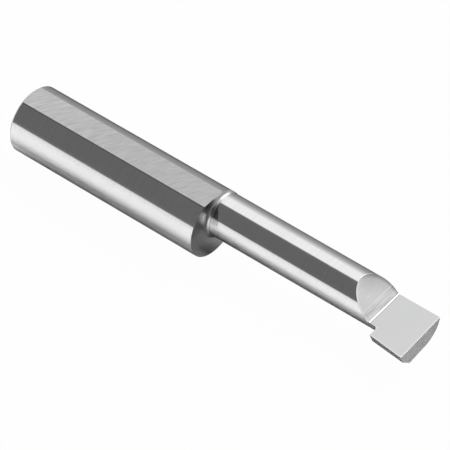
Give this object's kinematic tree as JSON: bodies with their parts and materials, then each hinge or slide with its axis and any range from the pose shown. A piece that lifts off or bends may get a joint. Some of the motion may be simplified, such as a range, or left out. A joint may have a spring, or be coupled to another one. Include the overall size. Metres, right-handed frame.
{
  "type": "boring bar",
  "caption": "Solid carbide boring bar with a round shank that has a clamping flat, an off-centre neck and a side-cutting head, for turning the inside of a small bore.",
  "frame": {"origin": "centre of the shank's rear end face, on the shank's axis", "axes": "+X along the shank's axis towards the cutting end; +Z the way the rake face and the clamping flat look; the cutting corner is on the -Y side"},
  "size_m": [0.0635, 0.0096, 0.0093],
  "materials": {
    "ground_carbide": "ground bare tungsten carbide: fine grinding lines, bright on the round shank and neck and satin on the flats"
  },
  "bodies": {
    "root": {"boring_bar": "ground_carbide"}
  },
  "joints": []
}
